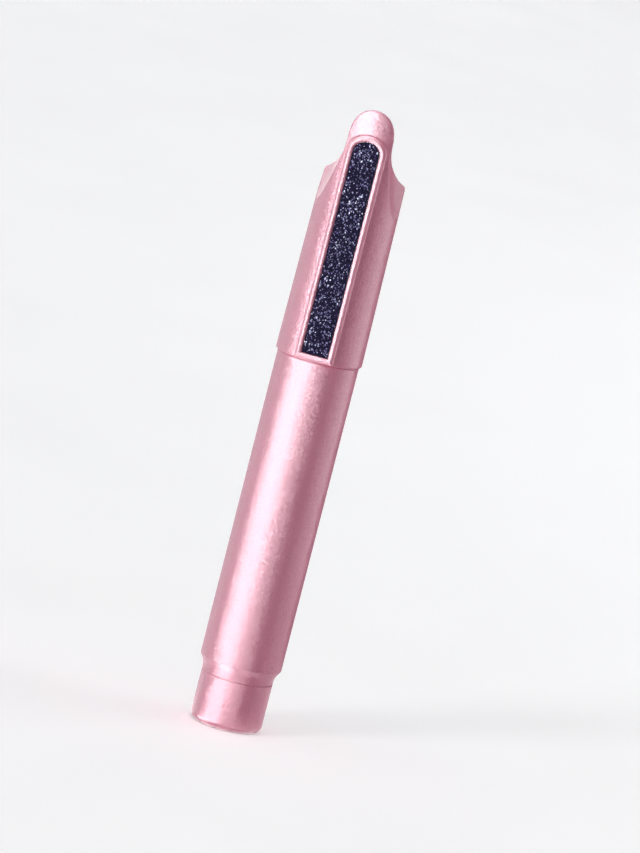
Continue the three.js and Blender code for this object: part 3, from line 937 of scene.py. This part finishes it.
floor = sweep("studio_floor", front=3000, back=2600, half_width=3000, bend=800, height=2600)
floor.data.materials.append(pale("pale_floor", dark=(240, 240, 241), light=(243, 243, 244)))
floor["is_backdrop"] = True

# Lamps, and dark cards that paint dark reflections in place of shade


def direction(azimuth, elevation):
    """The way from the pen towards an azimuth and an elevation in degrees."""
    turn, rise = math.radians(azimuth), math.radians(elevation)
    return Vector((math.sin(turn) * math.cos(rise), -math.cos(turn) * math.cos(rise), math.sin(rise)))


def spot(turn, reach, height):
    """The place at an azimuth in radians, a distance and a height."""
    return reach * math.sin(turn), -reach * math.cos(turn), height


def chord(span, reach):
    """The middle of a span of azimuths, in radians, and its width at a distance."""
    middle, half = math.radians(sum(span) / 2), math.radians((span[1] - span[0]) / 2)
    return middle, 2 * reach * math.tan(half)


def rectangle(name, size):
    """A rectangular lamp of a size in millimetres."""
    data = bpy.data.lights.new(name, "AREA")
    data.shape = "RECTANGLE"
    data.size, data.size_y = (s * MM for s in size)
    return add(name, data)


def softbox(name, azimuth, elevation, distance, size, power, aim=MIDDLE):
    """A lamp that faces a point."""
    lamp = rectangle(name, size)
    lamp.data.energy = power
    way = direction(azimuth, elevation)
    lamp.location = (Vector(aim) + way * distance) * MM
    lamp.rotation_euler = way.to_track_quat("Z", "Y").to_euler()
    return lamp


def panel(name, size, brightness):
    """A lamp that only shows in gloss."""
    lamp = rectangle(name, size)
    lamp.data.energy = brightness * math.pi * lamp.data.size * lamp.data.size_y
    lamp.visible_camera = False
    lamp.visible_diffuse = False
    return lamp


def board(name, span, reach, brightness, height=BOARD_HEIGHT):
    """An upright panel that spans a range of azimuths at a distance."""
    middle, width = chord(span, reach)
    lamp = panel(name, (width, height), brightness)
    lamp.location = [c * MM for c in spot(middle, reach, height / 2)]
    lamp.rotation_euler = (math.pi / 2, 0, middle)


def strip(name, near, far, span, brightness, lift=STRIP_LIFT):
    """A panel just above the floor that spans a range of azimuths between two distances."""
    reach = (near + far) / 2
    middle, width = chord(span, reach)
    lamp = panel(name, (width, far - near), brightness)
    lamp.location = [c * MM for c in spot(middle, reach, lift)]
    lamp.rotation_euler = (math.pi, 0, middle)


def band(name, near_span, far_span, brightness, stops):
    """Strips from one distance to another, which the pen's sides mirror as one upright band."""
    for k, (near, far) in enumerate(zip(stops, stops[1:])):
        share = k / max(len(stops) - 2, 1)
        span = [a + (b - a) * share for a, b in zip(near_span, far_span)]
        strip(f"{name}_{k}", near, far, span, brightness)


def foot_ring(name, near, far, start, lights, lift):
    """Strips side by side round the pen's foot, one for each brightness."""
    for k, brightness in enumerate(lights):
        first = start + FOOT_SPAN * k
        strip(f"{name}_{k}", near, far, (first, first + FOOT_SPAN), brightness, lift)


def card(name, span, near):
    """A dark card on the floor and upright beyond it, which only shows in gloss, as a painted dark
    reflection in place of shade.
    """
    vertices = []
    for reach, height in ((near, OVER_STRIPS), (CARD_REACH, OVER_STRIPS), (CARD_REACH, CARD_HEIGHT)):
        for azimuth in span:
            vertices.append(spot(math.radians(azimuth), reach, height))
    obj = new_object(name, vertices, [(0, 1, 3, 2), (2, 3, 5, 4)])
    made, _, _ = material(name, Base_Color=DARK_REFLECTION_COLOUR, Roughness=1.0, Specular_IOR_Level=0.0)
    obj.data.materials.append(made)
    obj.visible_camera = False
    obj.visible_diffuse = False
    obj.visible_shadow = False
    obj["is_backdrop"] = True


band("left", (-58, -12), (-75, -9), LEFT_LIGHT, NEAR_STOPS)
band("left_far", LEFT_SPAN, LEFT_SPAN, LEFT_LIGHT, FAR_STOPS)
board("left_board", LEFT_SPAN, BOARD_REACH, LEFT_LIGHT, TALL_BOARD)
strip("frame_strip", near=460, far=1000, span=(-10, -1), brightness=40.0, lift=OVER_STRIPS)
band("left_back", (-128, -59), (-128, -72), brightness=1.4, stops=NEAR_STOPS + FAR_STOPS[1:])
board("left_wing", (-128, -66), SIDE_REACH, brightness=4.0, height=TALL_BOARD)
board("left_horizon", (-172, -130), SIDE_REACH, brightness=1.8)
band("front", (-11, 28), (-8, 31), FRONT_LIGHT, NEAR_STOPS)
band("front_far", FRONT_SPAN, FRONT_SPAN, FRONT_LIGHT, FAR_STOPS)
board("front_board", FRONT_SPAN, BOARD_REACH, FRONT_LIGHT, TALL_BOARD)
band("right", RIGHT_SPAN, RIGHT_SPAN, RIGHT_LIGHT, stops=(200, *FAR_STOPS))
board("right_board", RIGHT_SPAN, BOARD_REACH, RIGHT_LIGHT)
foot_ring("foot", FOOT_NEAR, FOOT_MIDDLE, start=-68, lights=(1.2, 3.2, 3.2, 1.8, 1.8), lift=FOOT_LIFT)
foot_ring("foot_right", FOOT_MIDDLE, FOOT_FAR, start=28, lights=(3.5, 2.2), lift=STRIP_LIFT)
overhead = panel("overhead", (OVERHEAD_SIZE, OVERHEAD_SIZE), OVERHEAD_LIGHT)
overhead.location = (0, 0, OVERHEAD_HEIGHT * MM)
# Painted dark reflections on the pen's right side and edges, standing in for shade behind and beside it
card("dark_reflection_card_back", (138, 192), near=60)
card("dark_reflection_card_right", (35, 70), near=16)
softbox("key", azimuth=-34, elevation=14, distance=800, size=(160, 160), power=2.1)
fill = softbox("fill", azimuth=116, elevation=8, distance=900, size=(900, 300), power=5.0)
fill.visible_glossy = False
softbox("top", azimuth=180, elevation=90, distance=1500, size=(3400, 3400), power=23.0, aim=(0, 700, 0))

world = bpy.data.worlds.new("studio")
bpy.context.scene.world = world
world.use_nodes = True
sky = world.node_tree.nodes["Background"]
sky.inputs["Color"].default_value = WORLD_COLOUR
sky.inputs["Strength"].default_value = WORLD_STRENGTH

# Camera

camera = add("camera", bpy.data.cameras.new("camera"))
bpy.context.scene.camera = camera
camera.data.sensor_width = SENSOR
camera.data.lens = SENSOR * FOCAL_PIXELS / IMAGE_HEIGHT
back = direction(CAMERA_AZIMUTH, CAMERA_ELEVATION)
place = (Vector(CAMERA_AIM) + back * CAMERA_DISTANCE) * MM
facing = back.to_track_quat("Z", "Y").to_matrix().to_4x4()
rolled = Matrix.Rotation(math.radians(CAMERA_ROLL), 4, "Z")
camera.matrix_world = Matrix.Translation(place) @ facing @ rolled
bpy.context.scene.view_settings.view_transform = "Standard"

boxes = {"cad": cad_box, "visual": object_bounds()}
{key: [list(corner) for corner in box] for key, box in boxes.items()}
